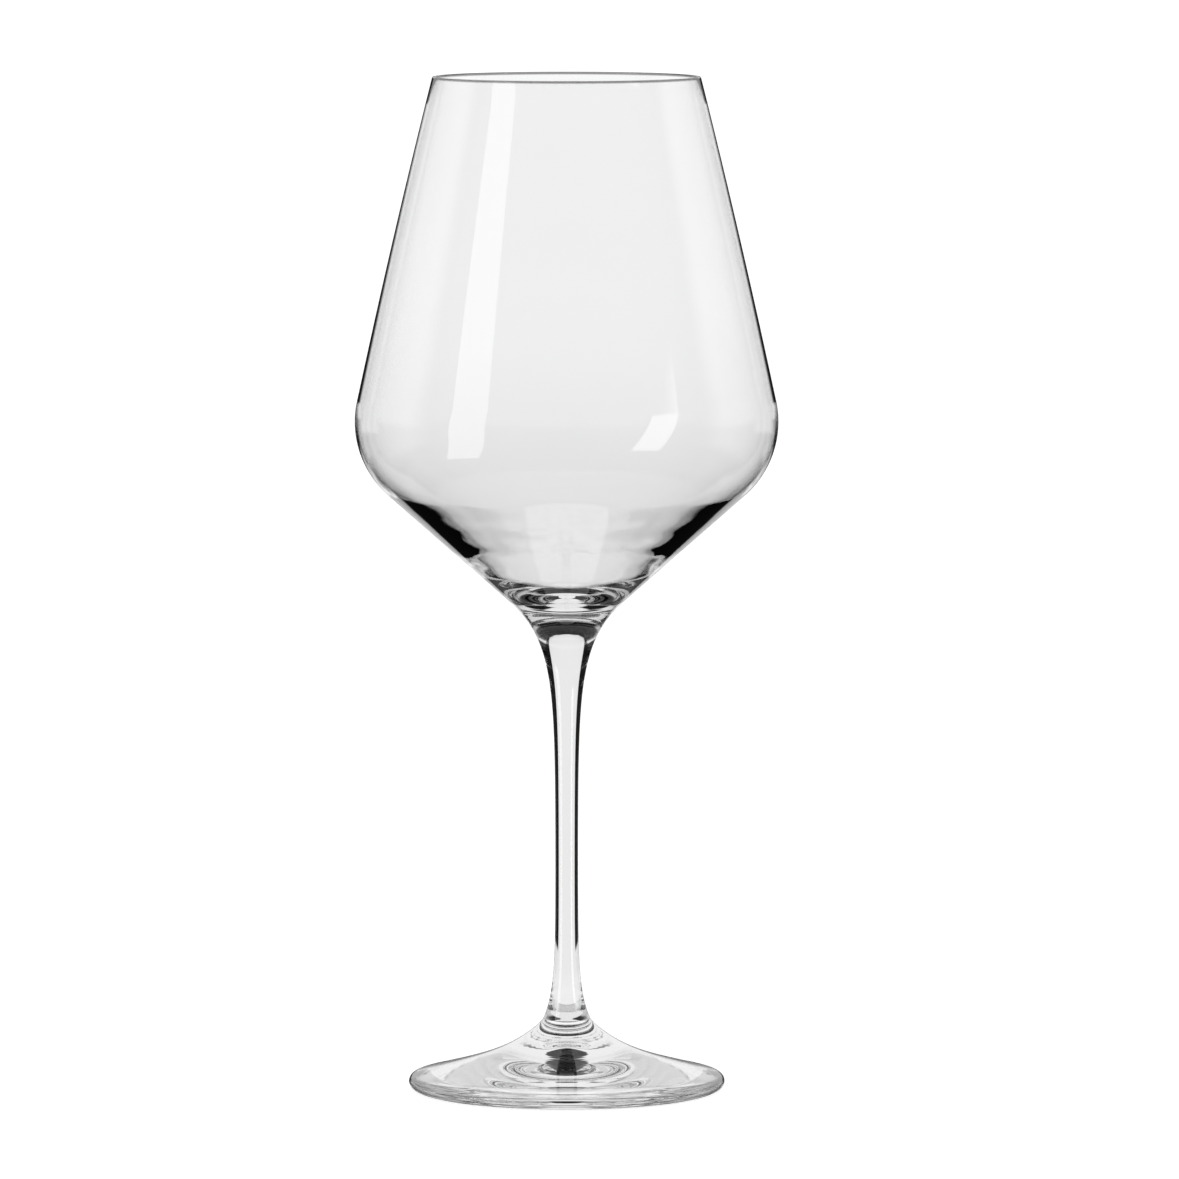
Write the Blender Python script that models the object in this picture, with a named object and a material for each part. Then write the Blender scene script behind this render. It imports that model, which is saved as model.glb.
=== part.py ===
"""Stemmed wine glass, 240 mm tall: a bowl, a drawn stem and a foot, each its own turned solid.

Every piece is turned about the Z axis. The origin is the centre of the ring that the foot stands on.
The bowl's boot has a dished seat for the stem's domed top, and the foot's boss has a shallow socket for
the stem's lower end.
"""

import math

import bmesh
import bpy

# Driving dimensions, in metres. Heights are measured up from the table.
HEIGHT = 0.240
SEGMENTS = 64
JOINT_GAP = 0.0003

# Bowl, outside
RIM_RADIUS = 0.0317
UPPER_BOW = 0.00035
BELLY_CORNER = (0.0525, 0.1505)
BELLY_FILLET = 0.0229
CONE_SLOPE = 1.13
BOOT_FLARE_LENGTH = 0.0095

# Bowl, inside
RIM_WALL = 0.0009
BELLY_WALL = 0.0010
INNER_FILLET = 0.0214
LEDGE_RADIUS = 0.0330
LEDGE_RISE = 0.76
LEDGE_REACH = 0.0050
CONE_RISE = 0.85
FLOOR_HEIGHT = 0.1172
FLOOR_RADIUS = 0.0290

# Stem
STEM_RADIUS = 0.00266
STEM_TOP_EDGE = 0.1085
STEM_TOP_DOME = 0.0021
SPIGOT_RADIUS = 0.0056
SPIGOT_FLOOR = 0.0129
SPIGOT_CORNER = 0.0008
FOOT_FLARE = 0.00322
FOOT_FLARE_HEIGHT = 0.0160
FOOT_FLARE_LENGTH = 0.0065
FLARE_EASE = 1.6

# Foot
FOOT_RADIUS = 0.03747
EDGE_THICKNESS = 0.0034
TOP_SLOPE = 0.25
BOSS_HEIGHT = 0.0052
BOSS_SPREAD = 0.0070
BOSS_POWER = 1.15
WELD_RISE = 0.0004
WELD_SPREAD = 0.0006
TOP_EASE = 1.4
RESTING_RING = (0.0315, 0.0345)
UNDERSIDE_RISE = 0.0035
PUNT_RADIUS = 0.0034
PUNT_RISE = 0.0012
EDGE_ARC = 72


def clear_scene():
    for obj in list(bpy.data.objects):
        bpy.data.objects.remove(obj, do_unlink=True)


def glass(name, colour):
    """Clear glass."""
    material = bpy.data.materials.new(name)
    material.use_nodes = True
    shader = material.node_tree.nodes["Principled BSDF"]
    shader.inputs["Base Color"].default_value = (*colour, 1.0)
    shader.inputs["Metallic"].default_value = 0.0
    shader.inputs["Roughness"].default_value = 0.02
    shader.inputs["IOR"].default_value = 1.52
    shader.inputs["Transmission Weight"].default_value = 1.0
    return material


def between(a, b, count):
    """Evenly spaced values after a, up to and including b."""
    return [a + (b - a) * (i + 1) / count for i in range(count)]


def arc(centre, radius, start, end, count):
    """Points (r, z) on a circle, from one angle to another in degrees, both included."""
    points = []
    for i in range(count + 1):
        angle = math.radians(start + (end - start) * i / count)
        points.append((centre[0] + radius * math.cos(angle), centre[1] + radius * math.sin(angle)))
    return points


def fillet(upper, corner, lower, radius, count):
    """The arc that rounds off the corner between two straight walls, from the upper one to the lower."""
    up = math.atan2(upper[1] - corner[1], upper[0] - corner[0])
    down = math.atan2(lower[1] - corner[1], lower[0] - corner[0]) + 2 * math.pi
    middle = (up + down) / 2
    reach = radius / math.sin((down - up) / 2)
    centre = (corner[0] + reach * math.cos(middle), corner[1] + reach * math.sin(middle))
    start = math.degrees(up) - 90
    end = math.degrees(down) - 270
    return arc(centre, radius, start, end, count)


def bowed_wall(top, bottom, bow, count):
    """Points from top towards bottom, both left out, on a wall that bulges by bow in its middle."""
    points = []
    for t in between(0.0, 1.0, count)[:-1]:
        r = top[0] + (bottom[0] - top[0]) * t + bow * 4 * t * (1 - t)
        points.append((r, top[1] + (bottom[1] - top[1]) * t))
    return points


def toward(a, b, reach):
    """The point this far from a on the way to b."""
    share = reach / math.dist(a, b)
    return (a[0] + (b[0] - a[0]) * share, a[1] + (b[1] - a[1]) * share)


def eased_corner(before, corner, after, reach, count):
    """A parabola that cuts the corner this far out on both sides."""
    start = toward(corner, before, reach)
    stop = toward(corner, after, reach)
    points = [start]
    for t in between(0.0, 1.0, count):
        pulls = ((1 - t) ** 2, 2 * t * (1 - t), t * t)
        points.append(tuple(sum(w * p[k] for w, p in zip(pulls, (start, corner, stop))) for k in (0, 1)))
    return points


# The cone below the belly ends where the boot's flare has the same slope.
CONE_FOOT_RADIUS = STEM_RADIUS + CONE_SLOPE * BOOT_FLARE_LENGTH
CONE_FOOT_HEIGHT = BELLY_CORNER[1] - (BELLY_CORNER[0] - CONE_FOOT_RADIUS) / CONE_SLOPE


def boot_radius(z):
    """Outer radius where the cone of the bowl draws in to the stem."""
    flare = CONE_SLOPE * BOOT_FLARE_LENGTH
    return STEM_RADIUS + flare * math.exp((z - CONE_FOOT_HEIGHT) / BOOT_FLARE_LENGTH)


def stem_radius(z):
    """The stem between its two flared ends."""
    lower = FOOT_FLARE * math.exp(-(z - FOOT_FLARE_HEIGHT) / FOOT_FLARE_LENGTH)
    return boot_radius(z) + lower


def foot_top(r):
    """Height of the foot's upper surface: a shallow cone with a boss, and a small fillet round the stem."""
    cone = EDGE_THICKNESS + TOP_SLOPE * (FOOT_RADIUS - EDGE_THICKNESS / 2 - r)
    out = max(r - SPIGOT_RADIUS, 0.0)
    boss = BOSS_HEIGHT * math.exp(-((out / BOSS_SPREAD) ** BOSS_POWER))
    weld = WELD_RISE * math.exp(-out / WELD_SPREAD)
    return cone + boss + weld


def foot_underside(r):
    """Height of the hollow under the foot, with a small punt at its centre."""
    hollow = UNDERSIDE_RISE * (1 - (r / RESTING_RING[0]) ** 2)
    punt = PUNT_RISE * math.exp(-((r / PUNT_RADIUS) ** 2))
    return hollow + punt


def seat_dome(radius, edge, rise, count):
    """Points on the domed joint between bowl and stem, from its edge to the axis."""
    return [(radius * (1 - t), edge + rise * (1 - (1 - t) ** 2)) for t in between(0.0, 1.0, count)]


def bowl_profile():
    """From the middle of the cavity's floor, up inside, over the rim and down outside to the seat."""
    lean = math.degrees(math.atan(CONE_RISE))
    floor = arc((0.0, FLOOR_HEIGHT + FLOOR_RADIUS), FLOOR_RADIUS, -90, -90 + lean, 6)
    floor[0] = (0.0, FLOOR_HEIGHT)
    cone_start = floor[-1]
    ledge = (LEDGE_RADIUS, cone_start[1] + CONE_RISE * (LEDGE_RADIUS - cone_start[0]))
    outer_rim = (RIM_RADIUS, HEIGHT - RIM_WALL / 2)
    inner_rim = (RIM_RADIUS - RIM_WALL, HEIGHT - RIM_WALL / 2)

    # Where the ledge and the inner upper wall would meet, were the belly not rounded
    taper = (BELLY_CORNER[0] - outer_rim[0]) / (outer_rim[1] - BELLY_CORNER[1])
    wall_foot = BELLY_CORNER[0] - BELLY_WALL
    inner_z = ledge[1] + LEDGE_RISE * (wall_foot + taper * BELLY_CORNER[1] - ledge[0])
    inner_z /= 1 + LEDGE_RISE * taper
    inner_corner = (wall_foot - taper * (inner_z - BELLY_CORNER[1]), inner_z)

    inner_belly = fillet(inner_rim, inner_corner, ledge, INNER_FILLET, 10)
    inner_cone = eased_corner(cone_start, ledge, inner_belly[-1], LEDGE_REACH, 4)
    inner_upper = bowed_wall(inner_rim, inner_belly[0], UPPER_BOW, 5)
    rim = arc((RIM_RADIUS - RIM_WALL / 2, outer_rim[1]), RIM_WALL / 2, 180, 0, 4)
    cone_foot = (CONE_FOOT_RADIUS, CONE_FOOT_HEIGHT)
    outer_belly = fillet(outer_rim, BELLY_CORNER, cone_foot, BELLY_FILLET, 10)
    outer_upper = bowed_wall(outer_rim, outer_belly[0], UPPER_BOW, 5)
    seat_edge = STEM_TOP_EDGE + JOINT_GAP
    boot = [(boot_radius(z), z) for z in between(CONE_FOOT_HEIGHT, seat_edge, 4)]
    seat = seat_dome(boot_radius(seat_edge), seat_edge, STEM_TOP_DOME, 4)
    inside = floor + inner_cone + inner_belly[::-1] + inner_upper[::-1]
    return inside + rim + outer_upper + outer_belly + [cone_foot] + boot + seat


def stem_profile():
    """From the middle of the domed top, over its edge and down to the middle of the spigot's end."""
    top_radius = stem_radius(STEM_TOP_EDGE)
    dome = [(0.0, STEM_TOP_EDGE + STEM_TOP_DOME)]
    dome += seat_dome(top_radius, STEM_TOP_EDGE, STEM_TOP_DOME, 4)[-2::-1]
    flare_end = FOOT_FLARE_HEIGHT + math.log(
        FOOT_FLARE / (SPIGOT_RADIUS - STEM_RADIUS)
    ) * FOOT_FLARE_LENGTH
    middle = (STEM_TOP_EDGE + flare_end) / 2
    upper = [(stem_radius(z), z) for z in [STEM_TOP_EDGE] + eased(STEM_TOP_EDGE, middle, 10)]
    lower = [(stem_radius(z), z) for z in eased(flare_end, middle, 10)[-2::-1]]
    corner_centre = (SPIGOT_RADIUS - SPIGOT_CORNER, SPIGOT_FLOOR + SPIGOT_CORNER)
    corner = arc(corner_centre, SPIGOT_CORNER, 0, -90, 3)
    return dome + upper + lower + [(SPIGOT_RADIUS, flare_end)] + corner + [(0.0, SPIGOT_FLOOR)]


def eased(end, middle, count):
    """Heights from a flared end to the middle, closer together where the flare is steep."""
    return [end + (middle - end) * t**FLARE_EASE for t in between(0.0, 1.0, count)]


def foot_profile():
    """From the middle of the stem's socket, up its wall, over the boss and edge, and in underneath."""
    socket = SPIGOT_RADIUS + JOINT_GAP
    lip = socket + JOINT_GAP
    half = EDGE_THICKNESS / 2
    edge_centre = (FOOT_RADIUS - half, half)
    points = [(0.0, SPIGOT_FLOOR - JOINT_GAP), (socket, SPIGOT_FLOOR - JOINT_GAP)]
    points.append((socket, foot_top(lip)))
    points.append((lip, foot_top(lip)))
    span = edge_centre[0] - lip
    radii = [lip + span * t**TOP_EASE for t in between(0.0, 1.0, 10)]
    points += [(r, foot_top(r)) for r in radii]
    points += arc(edge_centre, half, EDGE_ARC, -EDGE_ARC, 6)
    points.append((RESTING_RING[1], 0.0))
    points += [(RESTING_RING[0] * (1 - t), foot_underside(RESTING_RING[0] * (1 - t)))
               for t in [0.0] + between(0.0, 1.0, 9)]
    points[-1] = (0.0, foot_underside(0.0))
    return points


def turned(name, profile, material):
    """Spins a profile round the Z axis into one closed solid."""
    mesh_data = bmesh.new()
    verts = [mesh_data.verts.new((r, 0.0, z)) for r, z in profile]
    edges = [mesh_data.edges.new(pair) for pair in zip(verts, verts[1:])]
    bmesh.ops.spin(
        mesh_data,
        geom=verts + edges,
        cent=(0.0, 0.0, 0.0),
        axis=(0.0, 0.0, 1.0),
        angle=2 * math.pi,
        steps=SEGMENTS,
        use_duplicate=False,
    )
    bmesh.ops.remove_doubles(mesh_data, verts=mesh_data.verts, dist=1e-6)
    bmesh.ops.recalc_face_normals(mesh_data, faces=mesh_data.faces)
    mesh = bpy.data.meshes.new(name)
    mesh_data.to_mesh(mesh)
    mesh_data.free()
    mesh.shade_smooth()
    mesh.set_sharp_from_angle(angle=math.radians(40))
    mesh.materials.append(material)
    obj = bpy.data.objects.new(name, mesh)
    bpy.context.collection.objects.link(obj)
    return obj


def main():
    clear_scene()
    whole = bpy.data.objects.new("wine_glass", None)
    bpy.context.collection.objects.link(whole)
    pieces = [
        turned("bowl", bowl_profile(), glass("bowl_glass", (0.97, 0.98, 0.98))),
        turned("stem", stem_profile(), glass("stem_glass", (0.96, 0.97, 0.97))),
        turned("foot", foot_profile(), glass("foot_glass", (0.95, 0.97, 0.97))),
    ]
    for piece in pieces:
        piece.parent = whole


main()
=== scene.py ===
"""Looks of the stemmed wine glass: fine turned glass in a bright-field studio.

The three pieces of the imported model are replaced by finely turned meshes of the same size. Bowl, stem and
foot meet at fused joints, where the glass runs on without a gap.
"""

import math

import bmesh
import bpy
import numpy as np
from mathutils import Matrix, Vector

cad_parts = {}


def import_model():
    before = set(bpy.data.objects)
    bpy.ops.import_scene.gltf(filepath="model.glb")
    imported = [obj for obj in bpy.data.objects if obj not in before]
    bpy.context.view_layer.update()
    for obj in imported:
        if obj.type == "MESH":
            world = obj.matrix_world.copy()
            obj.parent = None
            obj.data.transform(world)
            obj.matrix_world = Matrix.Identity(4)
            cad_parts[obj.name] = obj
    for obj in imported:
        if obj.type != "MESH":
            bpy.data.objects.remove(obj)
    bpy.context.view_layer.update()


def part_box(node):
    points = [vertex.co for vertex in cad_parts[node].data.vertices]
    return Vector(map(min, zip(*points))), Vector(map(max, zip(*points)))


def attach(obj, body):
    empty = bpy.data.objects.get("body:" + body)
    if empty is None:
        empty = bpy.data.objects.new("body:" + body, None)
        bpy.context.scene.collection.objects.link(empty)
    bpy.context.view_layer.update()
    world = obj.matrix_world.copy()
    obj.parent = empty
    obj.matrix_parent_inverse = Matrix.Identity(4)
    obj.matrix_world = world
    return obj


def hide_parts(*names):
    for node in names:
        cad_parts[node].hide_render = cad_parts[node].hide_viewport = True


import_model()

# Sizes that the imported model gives
_, bowl_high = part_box("bowl")
_, foot_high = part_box("foot")
HEIGHT = bowl_high[2]
FOOT_RADIUS = foot_high[0]

SEGMENTS = 384
SHARP_ANGLE = 40

# The design: lengths in metres, slopes as rise over run or run over rise
RIM_RADIUS = 0.0317
UPPER_BOW = 0.00035
BELLY_CORNER = (0.0525, 0.1505)
BELLY_FILLET = 0.0229
CONE_SLOPE = 1.13
BOOT_FLARE_LENGTH = 0.0095
RIM_WALL = 0.0008
BELLY_WALL = 0.00095
INNER_FILLET = 0.0214
LEDGE_RADIUS = 0.0240
LEDGE_RISE = 0.76
LEDGE_REACH = 0.0050
CONE_RISE = 0.85
FLOOR_HEIGHT = 0.1172
FLOOR_RADIUS = 0.0290
RIPPLE_LENGTH = 0.0072
RIPPLE_DEPTH = 0.000016
STEM_RADIUS = 0.00266
STEM_TOP_EDGE = 0.1087
STEM_TOP_DOME = 0.0021
SPIGOT_RADIUS = 0.0056
SPIGOT_FLOOR = 0.0129
SPIGOT_CORNER = 0.0008
FOOT_FLARE = 0.00322
FOOT_FLARE_HEIGHT = 0.0160
FOOT_FLARE_LENGTH = 0.0065
EDGE_THICKNESS = 0.0034
TOP_SLOPE = 0.25
BOSS_HEIGHT = 0.0052
BOSS_SPREAD = 0.0070
BOSS_POWER = 1.15
JOINT_FILLET = (0.0004, 0.0006)
RESTING_RING = (0.0315, 0.0345)
UNDERSIDE_RISE = 0.0035
PUNT_RADIUS = 0.0034
PUNT_RISE = 0.0012
TURNING_LENGTH = 0.0013
TURNING_DEPTH = 0.000003
TURNING_RADIUS = 0.0154

# Glass. A pattern is its stretch along x, y and z, its detail and a number that sets it apart.
GLASS_IOR = 1.5
GLASS_TINT = (0.998, 1.0, 0.999)
CORDS = ((0.5, 0.5, 3.0), 2.0, 0.0)
WAVES = ((1.0, 1.0, 1.0), 1.0, 3.0)
SMEARS = ((2.0, 2.0, 0.7), 4.0, 7.0)
BEADS = ((1.0, 1.0, 1.0), 0.5, 5.0)
CORD_SHADE = 0.012
# Darkening of the rim top: painted shade standing in for the dark line along the rim
RIM_PAINTED_SHADE = 0.72
SMEAR_LIMITS = (0.52, 0.80)
SMEAR_ROUGHNESS = 0.006
WAVE_DEPTH = 0.000004
BEAD_GRAIN = 110.0
BEAD_ZONE = (0.114, 0.147, 0.006)
BEAD_RISE = 20.0

# Studio directions, in degrees: first the angle sideways from the middle of the background, then the angle
# above level. Three numbers are two limits and their softness, and two numbers are one soft edge.
BACKGROUND = ((-60, 33, 2.0), (-90, 50, 20.0))
SIDE_GAP = ((82, 98, 2.0), (-90, 12, 4.0))
TABLE_EDGE = (-10.4, -9.6)
WALL = ((26, 100, 16.0), (-4, 3))
LEVEL_WALL = ((28, 56, 10.0), (-8, -5))
RAISED_WALL = ((21, 56, 8.0), (-3.5, -2.0))
LOW_AHEAD = ((-60, 19, 6.0), (-22, -8.5, 3.0))
HIGH_AHEAD = ((-60, 36, 8.0), (3, 30, 6.0))
CEILING_EDGE = (4, 10)
CEILING_DIMS = (60, 80)
BESIDE = ((30, 44), (-91, 24, 12.0))
BESIDE_DIMS = (80, 96)
STEEP_EDGE = (-48, -42)
UNDER_EDGE = (-28, -20)
NEAR_AHEAD = ((-60, 36, 8.0), (-14, 32, 4.0))
NEAR_BELOW = ((-60, 13, 4.0), (-52, -10, 4.0))
DARK_CARD = ((16, 25), (-12, 0, 3.0))
STRIP_LAMP = ((-135, -113, 0.6), (-28, 40, 0.6))
PATCH_LAMP = ((120, 137, 2.0), (-20, 17, 3.0))
STRIP_BEND = (5.0, 0.0143)
PATCH_LEAN = 0.34

# Studio brightness; a pair is before and after the area dims
BACKGROUND_LIGHT = 1.03
WALL_LIGHT = 0.8
CEILING_LIGHT = (0.85, 0.6)
CARD_LIGHT = 0.92
BESIDE_LIGHT = (0.62, 0.08)
STRIP_LIGHT = 2.8
PATCH_LIGHT = 3.6
DARKEST = 0.01
SEEN_LIGHT = 1.05
DIFFUSE_LIGHT = 0.28

FLOOR_SIZE = 12.0
FLOOR_DROP = 0.0002
FLOOR_TONE = 0.9
FLOOR_GLOW = 0.85

CAMERA_TARGET = (0.0054, 0.0, 0.1188)
CAMERA_DISTANCE = 2.2
CAMERA_PITCH = 5.2
SENSOR_WIDTH = 36
VIEW_WIDTH = 0.2787


# Profiles

def between(a, b, count):
    """Evenly spaced values after a, up to and including b."""
    return [a + (b - a) * (i + 1) / count for i in range(count)]


def arc(centre, radius, start, end, count):
    """Points (r, z) on a circle, from one angle to another in degrees, both included."""
    points = []
    for i in range(count + 1):
        angle = math.radians(start + (end - start) * i / count)
        points.append((centre[0] + radius * math.cos(angle), centre[1] + radius * math.sin(angle)))
    return points


def fillet(upper, corner, lower, radius, count):
    """The arc that rounds off the corner between two straight walls, from the upper one to the lower."""
    up = math.atan2(upper[1] - corner[1], upper[0] - corner[0])
    down = math.atan2(lower[1] - corner[1], lower[0] - corner[0]) + 2 * math.pi
    middle = (up + down) / 2
    reach = radius / math.sin((down - up) / 2)
    centre = (corner[0] + reach * math.cos(middle), corner[1] + reach * math.sin(middle))
    return arc(centre, radius, math.degrees(up) - 90, math.degrees(down) - 270, count)


def bowed_wall(top, bottom, bow, count):
    """Points from top towards bottom, both left out, on a wall that bulges by bow in its middle."""
    points = []
    for t in between(0.0, 1.0, count)[:-1]:
        r = top[0] + (bottom[0] - top[0]) * t + bow * 4 * t * (1 - t)
        points.append((r, top[1] + (bottom[1] - top[1]) * t))
    return points


def straight(a, b, count):
    """Points from a towards b, both left out."""
    return [(a[0] + (b[0] - a[0]) * t, a[1] + (b[1] - a[1]) * t) for t in between(0.0, 1.0, count)[:-1]]


CONE_FOOT_RADIUS = STEM_RADIUS + CONE_SLOPE * BOOT_FLARE_LENGTH
CONE_FOOT_HEIGHT = BELLY_CORNER[1] - (BELLY_CORNER[0] - CONE_FOOT_RADIUS) / CONE_SLOPE


def boot_radius(z):
    """Outside of the glass under the bowl, which flares up into the cone."""
    flare = CONE_SLOPE * BOOT_FLARE_LENGTH
    return STEM_RADIUS + flare * math.exp((z - CONE_FOOT_HEIGHT) / BOOT_FLARE_LENGTH)


def stem_radius(z):
    """Outside of the stem, which flares at both ends."""
    return boot_radius(z) + FOOT_FLARE * math.exp(-(z - FOOT_FLARE_HEIGHT) / FOOT_FLARE_LENGTH)


def foot_top(r):
    """Height of the foot's upper side: a shallow cone, the boss and a small fillet at the stem."""
    cone = EDGE_THICKNESS + TOP_SLOPE * (FOOT_RADIUS - EDGE_THICKNESS / 2 - r)
    out = max(r - SPIGOT_RADIUS, 0.0)
    boss = BOSS_HEIGHT * math.exp(-((out / BOSS_SPREAD) ** BOSS_POWER))
    rise, spread = JOINT_FILLET
    return cone + boss + rise * math.exp(-out / spread)


def foot_underside(r):
    """Height of the foot's hollow underside, with turning rings and a dimple in the middle."""
    hollow = UNDERSIDE_RISE * (1 - (r / RESTING_RING[0]) ** 2)
    fade = max(1 - (r / TURNING_RADIUS) ** 2, 0.0)
    rings = TURNING_DEPTH * fade * math.cos(2 * math.pi * r / TURNING_LENGTH)
    return hollow + rings + PUNT_RISE * math.exp(-((r / PUNT_RADIUS) ** 2))


def seat_dome(count):
    """The domed joint between bowl and stem, from its edge to the axis, edge left out."""
    radius = stem_radius(STEM_TOP_EDGE)
    return [(radius * (1 - t), STEM_TOP_EDGE + STEM_TOP_DOME * (1 - (1 - t) ** 2))
            for t in between(0.0, 1.0, count)]


def spigot(count):
    """The stem's lower end, from its shoulder down and in to the axis, shoulder left out."""
    centre = (SPIGOT_RADIUS - SPIGOT_CORNER, SPIGOT_FLOOR + SPIGOT_CORNER)
    end = (centre[0], SPIGOT_FLOOR)
    middle = (0.0, SPIGOT_FLOOR)
    return arc(centre, SPIGOT_CORNER, 0, -90, 6) + straight(end, middle, count) + [middle]


FLARE_END = FOOT_FLARE_HEIGHT + math.log(FOOT_FLARE / (SPIGOT_RADIUS - STEM_RADIUS)) * FOOT_FLARE_LENGTH


def meet(point, rise, top, lean):
    """Where a slope through a point meets the tapered wall through top."""
    z = point[1] + rise * (top[0] + lean * top[1] - point[0])
    z /= 1 + rise * lean
    return (top[0] - lean * (z - top[1]), z)


def toward(a, b, reach):
    """The point this far from a on the way to b."""
    share = reach / math.dist(a, b)
    return (a[0] + (b[0] - a[0]) * share, a[1] + (b[1] - a[1]) * share)


def eased_corner(before, corner, after, reach, count):
    """A parabola that cuts the corner this far out on both sides."""
    start = toward(corner, before, reach)
    stop = toward(corner, after, reach)
    points = [start]
    for t in between(0.0, 1.0, count):
        pulls = ((1 - t) ** 2, 2 * t * (1 - t), t * t)
        points.append(tuple(sum(w * p[k] for w, p in zip(pulls, (start, corner, stop))) for k in (0, 1)))
    return points


def rippled(points, length, depth):
    """Shallow waves along a wall, square to it, that die away at both ends."""
    out, run = [points[0]], 0.0
    total = sum(math.dist(a, b) for a, b in zip(points, points[1:]))
    for before, here, after in zip(points, points[1:], points[2:]):
        run += math.dist(before, here)
        slope = math.atan2(after[1] - before[1], after[0] - before[0])
        fade = math.sin(math.pi * run / total) ** 0.5
        shift = depth * fade * math.sin(2 * math.pi * run / length)
        out.append((here[0] - shift * math.sin(slope), here[1] + shift * math.cos(slope)))
    return out + [points[-1]]


def bowl_profile():
    """The bowl from the middle of its floor up the inside and down the outside, and its seat on the stem."""
    lean = math.degrees(math.atan(CONE_RISE))
    floor = arc((0.0, FLOOR_HEIGHT + FLOOR_RADIUS), FLOOR_RADIUS, -90, -90 + lean, 40)
    floor[0] = (0.0, FLOOR_HEIGHT)
    outer_rim = (RIM_RADIUS, HEIGHT - RIM_WALL / 2)
    inner_rim = (RIM_RADIUS - RIM_WALL, HEIGHT - RIM_WALL / 2)
    taper = (BELLY_CORNER[0] - outer_rim[0]) / (outer_rim[1] - BELLY_CORNER[1])
    wall_foot = (BELLY_CORNER[0] - BELLY_WALL, BELLY_CORNER[1])
    ledge = (LEDGE_RADIUS, floor[-1][1] + CONE_RISE * (LEDGE_RADIUS - floor[-1][0]))
    inner_corner = meet(ledge, LEDGE_RISE, wall_foot, taper)
    inner_belly = fillet(inner_rim, inner_corner, ledge, INNER_FILLET, 36)
    inner_upper = bowed_wall(inner_rim, inner_belly[0], UPPER_BOW, 12)
    below = straight(floor[-1], toward(ledge, floor[-1], LEDGE_REACH), 18)
    knee = eased_corner(floor[-1], ledge, inner_belly[-1], LEDGE_REACH, 20)
    above = straight(knee[-1], inner_belly[-1], 8)
    cone = [floor[-1]] + below + knee + above + [inner_belly[-1]]
    cone = rippled(cone, RIPPLE_LENGTH, RIPPLE_DEPTH)[1:-1]
    rim = arc((RIM_RADIUS - RIM_WALL / 2, outer_rim[1]), RIM_WALL / 2, 180, 0, 12)
    cone_foot = (CONE_FOOT_RADIUS, CONE_FOOT_HEIGHT)
    outer_belly = fillet(outer_rim, BELLY_CORNER, cone_foot, BELLY_FILLET, 36)
    outer_upper = bowed_wall(outer_rim, outer_belly[0], UPPER_BOW, 12)
    outer_cone = straight(outer_belly[-1], cone_foot, 12)
    boot = [(boot_radius(z), z) for z in between(CONE_FOOT_HEIGHT, STEM_TOP_EDGE, 20)]
    inside = floor + cone + inner_belly[::-1] + inner_upper[::-1]
    outside = rim + outer_upper + outer_belly + outer_cone + [cone_foot] + boot
    return inside + outside, seat_dome(12)


def stem_profile():
    """The stem's domed top, its side from top to bottom and its lower end."""
    count = 160
    side = []
    for i in range(count + 1):
        z = STEM_TOP_EDGE + (FLARE_END - STEM_TOP_EDGE) * (i / count)
        side.append((stem_radius(z), z))
    side[0] = (boot_radius(STEM_TOP_EDGE), STEM_TOP_EDGE)
    return [seat_dome(16)[::-1], side, spigot(12)]


def foot_profile():
    """The foot from the stem over its top and edge to the middle of its underside."""
    half = EDGE_THICKNESS / 2
    centre = (FOOT_RADIUS - half, half)
    span = centre[0] - SPIGOT_RADIUS
    top = [(SPIGOT_RADIUS + span * t, foot_top(SPIGOT_RADIUS + span * t)) for t in between(0.0, 1.0, 90)]
    edge = arc(centre, half, 75, -90, 24)
    ring_edge = (RESTING_RING[1], 0.0)
    radii = [RESTING_RING[0]] + between(RESTING_RING[0], TURNING_RADIUS, 24)
    radii += between(TURNING_RADIUS, 0.0, 100)
    under = [(r, foot_underside(r)) for r in radii]
    return top[:-1] + edge + straight(edge[-1], ring_edge, 3) + [ring_edge] + under


# Turning

def turned(name, profile, joints, materials):
    """A closed solid turned round the Z axis. joints holds (first, last) profile steps of fused faces."""
    angles = np.arange(SEGMENTS) * (2 * math.pi / SEGMENTS)
    cos, sin = np.cos(angles), np.sin(angles)
    verts, rings = [], []
    for r, z in profile:
        if r < 1e-7:
            rings.append([len(verts)] * SEGMENTS)
            verts.append((0.0, 0.0, z))
        else:
            first = len(verts)
            rings.append(list(range(first, first + SEGMENTS)))
            verts.extend(zip(r * cos, r * sin, [z] * SEGMENTS))
    faces, slots = [], []
    for step, (lower, upper) in enumerate(zip(rings, rings[1:])):
        slot = int(any(first <= step < last for first, last in joints))
        for i in range(SEGMENTS):
            j = (i + 1) % SEGMENTS
            ring = [lower[i], lower[j], upper[j], upper[i]]
            face = [v for k, v in enumerate(ring) if v != ring[k - 1]]
            faces.append(face)
            slots.append(slot)
    mesh = bpy.data.meshes.new(name)
    mesh.from_pydata([tuple(map(float, v)) for v in verts], [], faces)
    mesh.polygons.foreach_set("material_index", slots)
    work = bmesh.new()
    work.from_mesh(mesh)
    bmesh.ops.recalc_face_normals(work, faces=work.faces)
    work.to_mesh(mesh)
    work.free()
    mesh.shade_smooth()
    mesh.set_sharp_from_angle(angle=math.radians(SHARP_ANGLE))
    for material in materials:
        mesh.materials.append(material)
    obj = bpy.data.objects.new(name, mesh)
    bpy.context.scene.collection.objects.link(obj)
    return obj


# Materials

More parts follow.
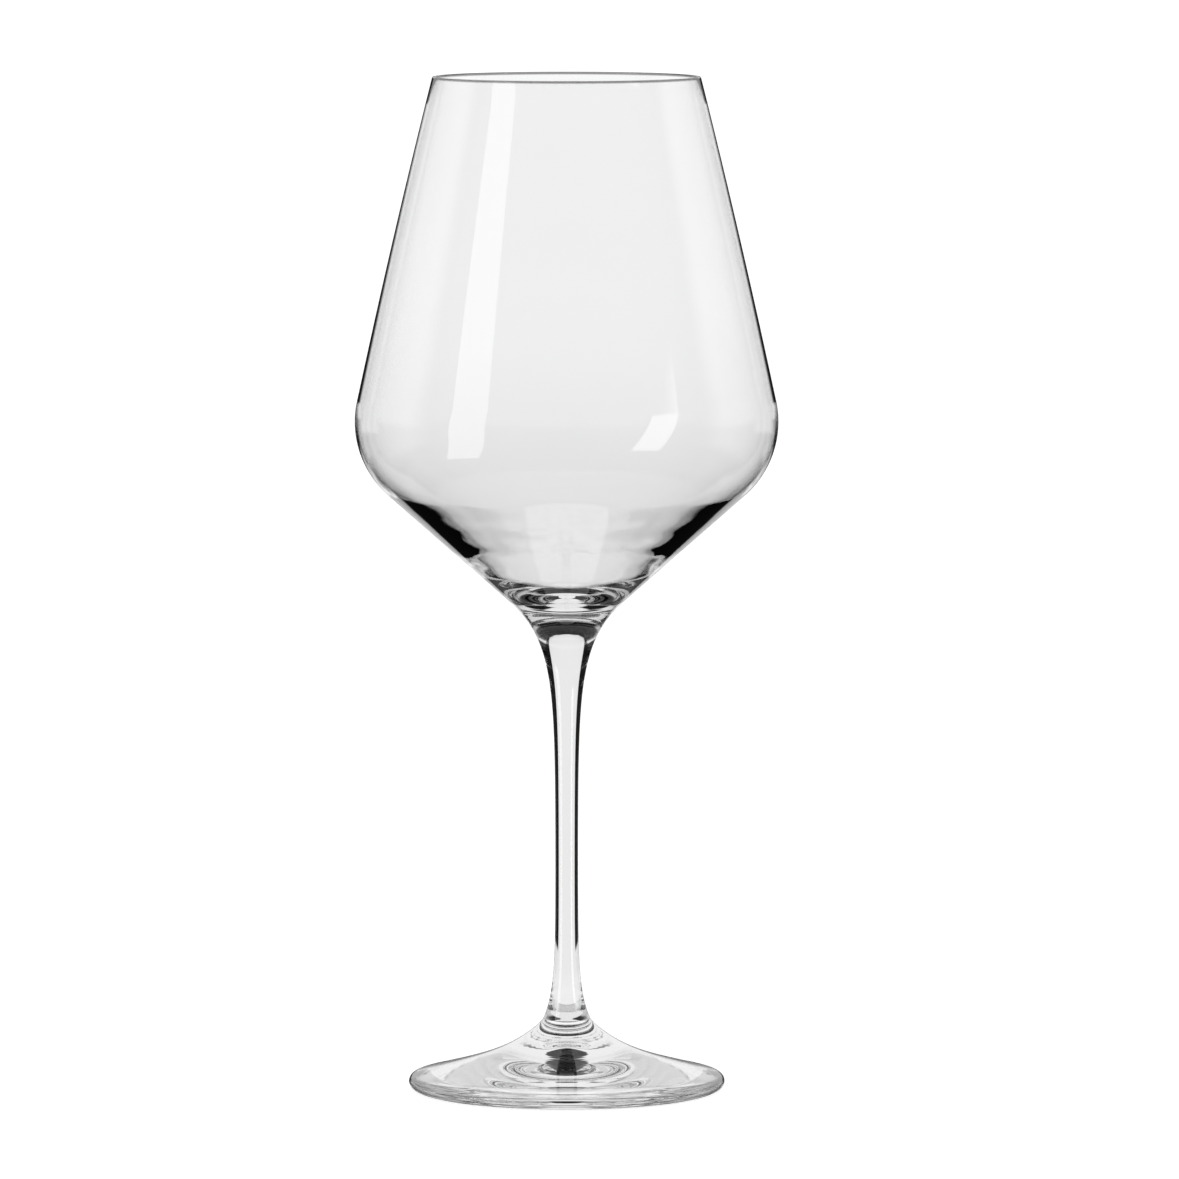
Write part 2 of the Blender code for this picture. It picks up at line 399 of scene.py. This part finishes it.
class Graph:
    """Small helper that adds and links shader nodes."""

    def __init__(self, tree):
        self.tree = tree

    def node(self, kind, **settings):
        """A new node with these settings."""
        made = self.tree.nodes.new(kind)
        for key, value in settings.items():
            setattr(made, key, value)
        return made

    def put(self, socket, value):
        """Sets a number or links an output."""
        if isinstance(value, (int, float)):
            socket.default_value = value
        else:
            self.tree.links.new(value, socket)

    def math(self, operation, a, b=0.0):
        """One number out of one or two."""
        made = self.node("ShaderNodeMath", operation=operation)
        for socket, value in zip(made.inputs, (a, b)):
            self.put(socket, value)
        return made.outputs[0]

    def step(self, value, low, high):
        """0 below low, 1 above high, smooth between."""
        made = self.node("ShaderNodeMapRange", interpolation_type="SMOOTHSTEP")
        self.put(made.inputs["Value"], value)
        made.inputs["From Min"].default_value = low
        made.inputs["From Max"].default_value = high
        return made.outputs[0]

    def window(self, value, low, high, soft):
        """1 between low and high, 0 outside."""
        rise = self.step(value, low - soft / 2, low + soft / 2)
        fall = self.step(value, high - soft / 2, high + soft / 2)
        return self.math("SUBTRACT", rise, fall)

    def below(self, value, edge):
        """1 below a soft edge, 0 above it."""
        return self.opposite(self.step(value, *edge))

    def area(self, across, up, limits):
        """1 where both directions lie inside their limits or past their soft edge."""
        parts = [self.window(value, *edges) if len(edges) == 3 else self.step(value, *edges)
                 for value, edges in zip((across, up), limits)]
        return self.times(*parts)

    def noise(self, place, grain, pattern, seed):
        """Cloudy noise around 0.5."""
        stretch, detail, offset = pattern
        mapping = self.node("ShaderNodeMapping")
        self.put(mapping.inputs["Vector"], place)
        mapping.inputs["Location"].default_value = (seed + offset,) * 3
        mapping.inputs["Scale"].default_value = [grain * s for s in stretch]
        made = self.node("ShaderNodeTexNoise")
        self.put(made.inputs["Vector"], mapping.outputs[0])
        made.inputs["Scale"].default_value = 1.0
        made.inputs["Detail"].default_value = detail
        return made.outputs[0]

    def times(self, a, b):
        return self.math("MULTIPLY", a, b)

    def opposite(self, a):
        return self.math("SUBTRACT", 1.0, a)

    def either(self, *values):
        """The brightest of these."""
        most = values[0]
        for value in values[1:]:
            most = self.math("MAXIMUM", most, value)
        return most

    def mix(self, share, a, b):
        """a where share is 0, b where it is 1."""
        made = self.node("ShaderNodeMix", data_type="FLOAT")
        for socket, value in zip((made.inputs[0], made.inputs[2], made.inputs[3]), (share, a, b)):
            self.put(socket, value)
        return made.outputs[0]


def crystal(name, tones, heights, grain, seed):
    """Clear glass with faint waves and smears. Its tone changes between two heights, with its thickness. The
    top of the rim is darkened with painted shade, a dark edge line.
    """
    material = bpy.data.materials.new(name)
    material.use_nodes = True
    tree = material.node_tree
    shader = tree.nodes["Principled BSDF"]
    shader.inputs["IOR"].default_value = GLASS_IOR
    shader.inputs["Transmission Weight"].default_value = 1.0
    g = Graph(tree)
    place = g.node("ShaderNodeTexCoord").outputs["Object"]
    split = g.node("ShaderNodeSeparateXYZ")
    g.put(split.inputs[0], place)
    height = split.outputs[2]

    low, high = tones
    cords = g.noise(place, grain, CORDS, seed)
    tone = g.math("ADD", low, g.times(g.step(height, *heights), high - low))
    tone = g.math("ADD", tone, g.times(g.math("SUBTRACT", cords, 0.5), CORD_SHADE))
    # The rim top is darkened: painted shade standing in for the dark line along the rim
    rim = g.step(height, HEIGHT - RIM_WALL, HEIGHT - RIM_WALL / 2)
    tone = g.times(tone, g.opposite(g.times(rim, RIM_PAINTED_SHADE)))
    colour = g.node("ShaderNodeCombineColor")
    for channel, share in zip(colour.inputs, GLASS_TINT):
        g.put(channel, g.times(tone, share))
    g.put(shader.inputs["Base Color"], colour.outputs[0])

    smears = g.noise(place, grain, SMEARS, seed)
    g.put(shader.inputs["Roughness"], g.times(g.step(smears, *SMEAR_LIMITS), SMEAR_ROUGHNESS))

    waves = g.noise(place, grain, WAVES, seed)
    beads = g.times(g.noise(place, BEAD_GRAIN, BEADS, seed), g.window(height, *BEAD_ZONE))
    bump = g.node("ShaderNodeBump")
    bump.inputs["Strength"].default_value = 1.0
    bump.inputs["Distance"].default_value = WAVE_DEPTH
    g.put(bump.inputs["Height"], g.math("ADD", waves, g.times(beads, BEAD_RISE)))
    g.put(shader.inputs["Normal"], bump.outputs[0])
    return material


# The faces where two pieces have run into one show nothing
joint = crystal("fused_joint", (0.925, 0.925), (0.0, 0.2), 30.0, 5.0)
joint.node_tree.nodes["Principled BSDF"].inputs["Alpha"].default_value = 0.0
bowl_glass = crystal("bowl_crystal", (0.925, 0.978), (0.132, 0.185), 30.0, 0.0)
stem_glass = crystal("stem_crystal", (0.86, 0.86), (0.0, 0.1), 60.0, 11.0)
foot_glass = crystal("foot_crystal", (0.955, 0.93), (0.0, 0.016), 40.0, 23.0)

bowl_side, bowl_seat = bowl_profile()
bowl_points = bowl_side + bowl_seat
bowl = turned("bowl_glass_body", bowl_points, [(len(bowl_side) - 1, len(bowl_points))], [bowl_glass, joint])

dome, side, end = stem_profile()
stem_points = dome + side + end
stem = turned("stem_glass_body", stem_points,
              [(0, len(dome)), (len(dome) + len(side) - 1, len(stem_points))], [stem_glass, joint])

foot_points = foot_profile()
shoulder = (SPIGOT_RADIUS, FLARE_END)
socket = spigot(12)[::-1] + [shoulder]
foot_all = socket + foot_points
foot = turned("foot_glass_body", foot_all, [(0, len(socket) - 1)], [foot_glass, joint])

for piece, node in ((bowl, "bowl"), (stem, "stem"), (foot, "foot")):
    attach(piece, "root")
    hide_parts(node)


# Studio

def floor():
    """Pale ground that neither shows through the glass nor reflects in it."""
    mesh = bpy.data.meshes.new("floor")
    corners = [(x * FLOOR_SIZE, y * FLOOR_SIZE, 0) for x, y in ((-1, -1), (1, -1), (1, 1), (-1, 1))]
    mesh.from_pydata(corners, [], [(0, 1, 2, 3)])
    obj = bpy.data.objects.new("floor", mesh)
    bpy.context.scene.collection.objects.link(obj)
    obj.location.z = -FLOOR_DROP
    material = bpy.data.materials.new("pale_floor")
    material.use_nodes = True
    shader = material.node_tree.nodes["Principled BSDF"]
    shader.inputs["Base Color"].default_value = (FLOOR_TONE, FLOOR_TONE, FLOOR_TONE, 1.0)
    shader.inputs["Roughness"].default_value = 1.0
    shader.inputs["Specular IOR Level"].default_value = 0.0
    shader.inputs["Emission Color"].default_value = (1, 1, 1, 1)
    shader.inputs["Emission Strength"].default_value = FLOOR_GLOW
    mesh.materials.append(material)
    obj.visible_transmission = False
    obj.visible_glossy = False


def passing_light(g, side, elevation):
    """Light that only passes through the glass: the background, the table and a gap at each side."""
    back = g.times(g.area(side, elevation, BACKGROUND), BACKGROUND_LIGHT)
    return g.either(g.below(elevation, TABLE_EDGE), g.area(side, elevation, SIDE_GAP), back)


def surface_light(g, azimuth, side, elevation):
    """Light that the first surface reflects: walls, ceiling, bright cards and two lamps."""
    walls = g.either(*(g.area(side, elevation, limits) for limits in (WALL, LEVEL_WALL, RAISED_WALL)))
    ceiling = g.times(g.step(elevation, *CEILING_EDGE), g.mix(g.step(side, *CEILING_DIMS), *CEILING_LIGHT))
    ahead = g.either(g.area(side, elevation, LOW_AHEAD), g.area(side, elevation, HIGH_AHEAD))

    # The strip swings aside below its bend, and the patch leans
    bend, swing = STRIP_BEND
    low = g.math("MINIMUM", g.math("ADD", elevation, bend), 0.0)
    swung = g.math("SUBTRACT", azimuth, g.times(g.times(low, low), swing))
    leant = g.math("ADD", azimuth, g.times(elevation, PATCH_LEAN))
    strip = g.times(g.area(swung, elevation, STRIP_LAMP), STRIP_LIGHT)
    patch = g.times(g.area(leant, elevation, PATCH_LAMP), PATCH_LIGHT)
    return g.either(g.times(walls, WALL_LIGHT), ceiling, g.times(ahead, CARD_LIGHT), strip, patch)


def inner_light(g, side, elevation, depth):
    """Light that is reflected inside the glass, some of it only from the second reflection on."""
    again = g.step(depth, 1.4, 1.6)
    twice = g.window(depth, 1.5, 2.5, 0.2)
    beside = g.times(g.area(side, elevation, BESIDE), g.mix(g.step(side, *BESIDE_DIMS), *BESIDE_LIGHT))
    under = g.either(g.below(elevation, STEEP_EDGE), g.times(again, g.below(elevation, UNDER_EDGE)))
    edges, span = DARK_CARD
    card = g.times(g.below(side, edges), g.window(elevation, *span))
    near = g.either(g.area(side, elevation, NEAR_AHEAD), g.area(side, elevation, NEAR_BELOW))
    near = g.times(g.times(near, g.opposite(card)), g.opposite(twice))
    return g.either(g.times(under, CARD_LIGHT), beside, g.times(near, CARD_LIGHT))


def world():
    """The studio as glass sees it: what is bright depends on how the light went through the glass."""
    made = bpy.data.worlds.new("studio")
    bpy.context.scene.world = made
    made.use_nodes = True
    tree = made.node_tree
    tree.nodes.clear()
    g = Graph(tree)
    split = g.node("ShaderNodeSeparateXYZ")
    g.put(split.inputs[0], g.node("ShaderNodeTexCoord").outputs["Generated"])
    x, y, z = split.outputs
    azimuth = g.math("DEGREES", g.math("ARCTAN2", x, y))
    elevation = g.math("DEGREES", g.math("ARCSINE", z))
    side = g.math("ABSOLUTE", azimuth)

    path = g.node("ShaderNodeLightPath").outputs
    bounced = g.step(path["Glossy Depth"], 0.4, 0.6)
    entered = g.step(path["Transmission Depth"], 0.4, 0.6)
    passing = passing_light(g, side, elevation)
    outer = surface_light(g, azimuth, side, elevation)
    inner = inner_light(g, side, elevation, path["Glossy Depth"])
    total = g.mix(bounced, passing, g.mix(entered, outer, inner))
    total = g.either(total, DARKEST)

    # Diffuse surfaces get even light, and the camera sees plain white
    shown = None
    for ray, strength in ((None, total), ("Is Diffuse Ray", DIFFUSE_LIGHT), ("Is Camera Ray", SEEN_LIGHT)):
        sky = g.node("ShaderNodeBackground")
        sky.inputs["Color"].default_value = (1, 1, 1, 1)
        g.put(sky.inputs["Strength"], strength)
        if shown is None:
            shown = sky.outputs[0]
            continue
        choice = g.node("ShaderNodeMixShader")
        for socket, value in zip(choice.inputs, (path[ray], shown, sky.outputs[0])):
            g.put(socket, value)
        shown = choice.outputs[0]
    out = g.node("ShaderNodeOutputWorld")
    g.put(out.inputs["Surface"], shown)


def camera():
    """Looks at the glass from the front and slightly from above."""
    data = bpy.data.cameras.new("camera")
    obj = bpy.data.objects.new("camera", data)
    bpy.context.scene.collection.objects.link(obj)
    target = Vector(CAMERA_TARGET)
    pitch = math.radians(CAMERA_PITCH)
    obj.location = target + Vector((0, -math.cos(pitch), math.sin(pitch))) * CAMERA_DISTANCE
    obj.rotation_euler = (target - obj.location).to_track_quat("-Z", "Y").to_euler()
    data.sensor_width = SENSOR_WIDTH
    data.lens = SENSOR_WIDTH * CAMERA_DISTANCE / VIEW_WIDTH
    data.clip_end = 100
    bpy.context.scene.camera = obj


floor()
world()
camera()
scene = bpy.context.scene
scene.view_settings.view_transform = "Standard"
scene.cycles.max_bounces = 32
scene.cycles.transmission_bounces = 32
scene.cycles.glossy_bounces = 16
